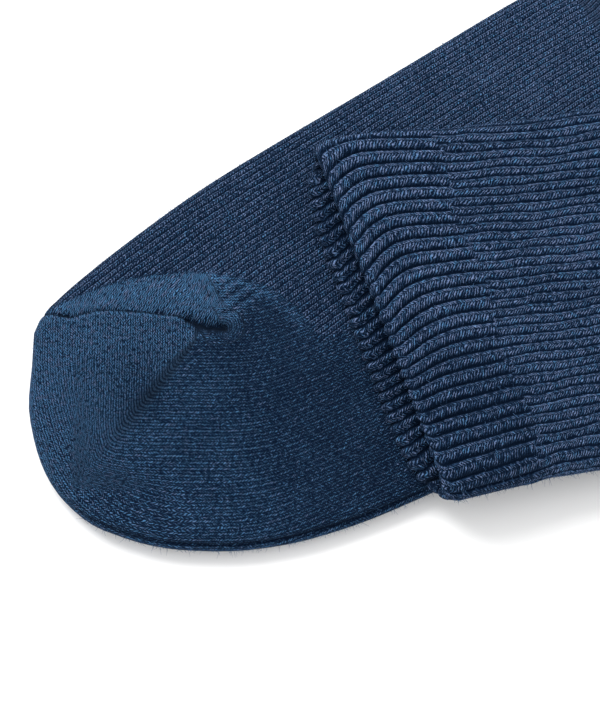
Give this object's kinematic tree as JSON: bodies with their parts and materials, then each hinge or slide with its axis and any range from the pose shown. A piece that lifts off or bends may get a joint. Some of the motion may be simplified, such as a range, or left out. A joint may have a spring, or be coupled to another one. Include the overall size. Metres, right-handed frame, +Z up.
{
  "type": "pair of crew socks",
  "caption": "Pair of ribbed knit crew socks laid flat on their sides, the open cuff of one lying over the foot of the other.",
  "frame": {"origin": "on the surface that the socks lie on, under the middle of the pair", "axes": "+Z up from the surface, +X along the leg of the upper sock from its cuff, +Y towards the cuff of the lower sock"},
  "size_m": [0.3652, 0.315, 0.0184],
  "materials": {
    "knit": "heathered navy cotton knit, matt, with a short nap"
  },
  "bodies": {
    "root": {"lower_sock": "knit", "upper_sock": "knit"}
  },
  "joints": []
}
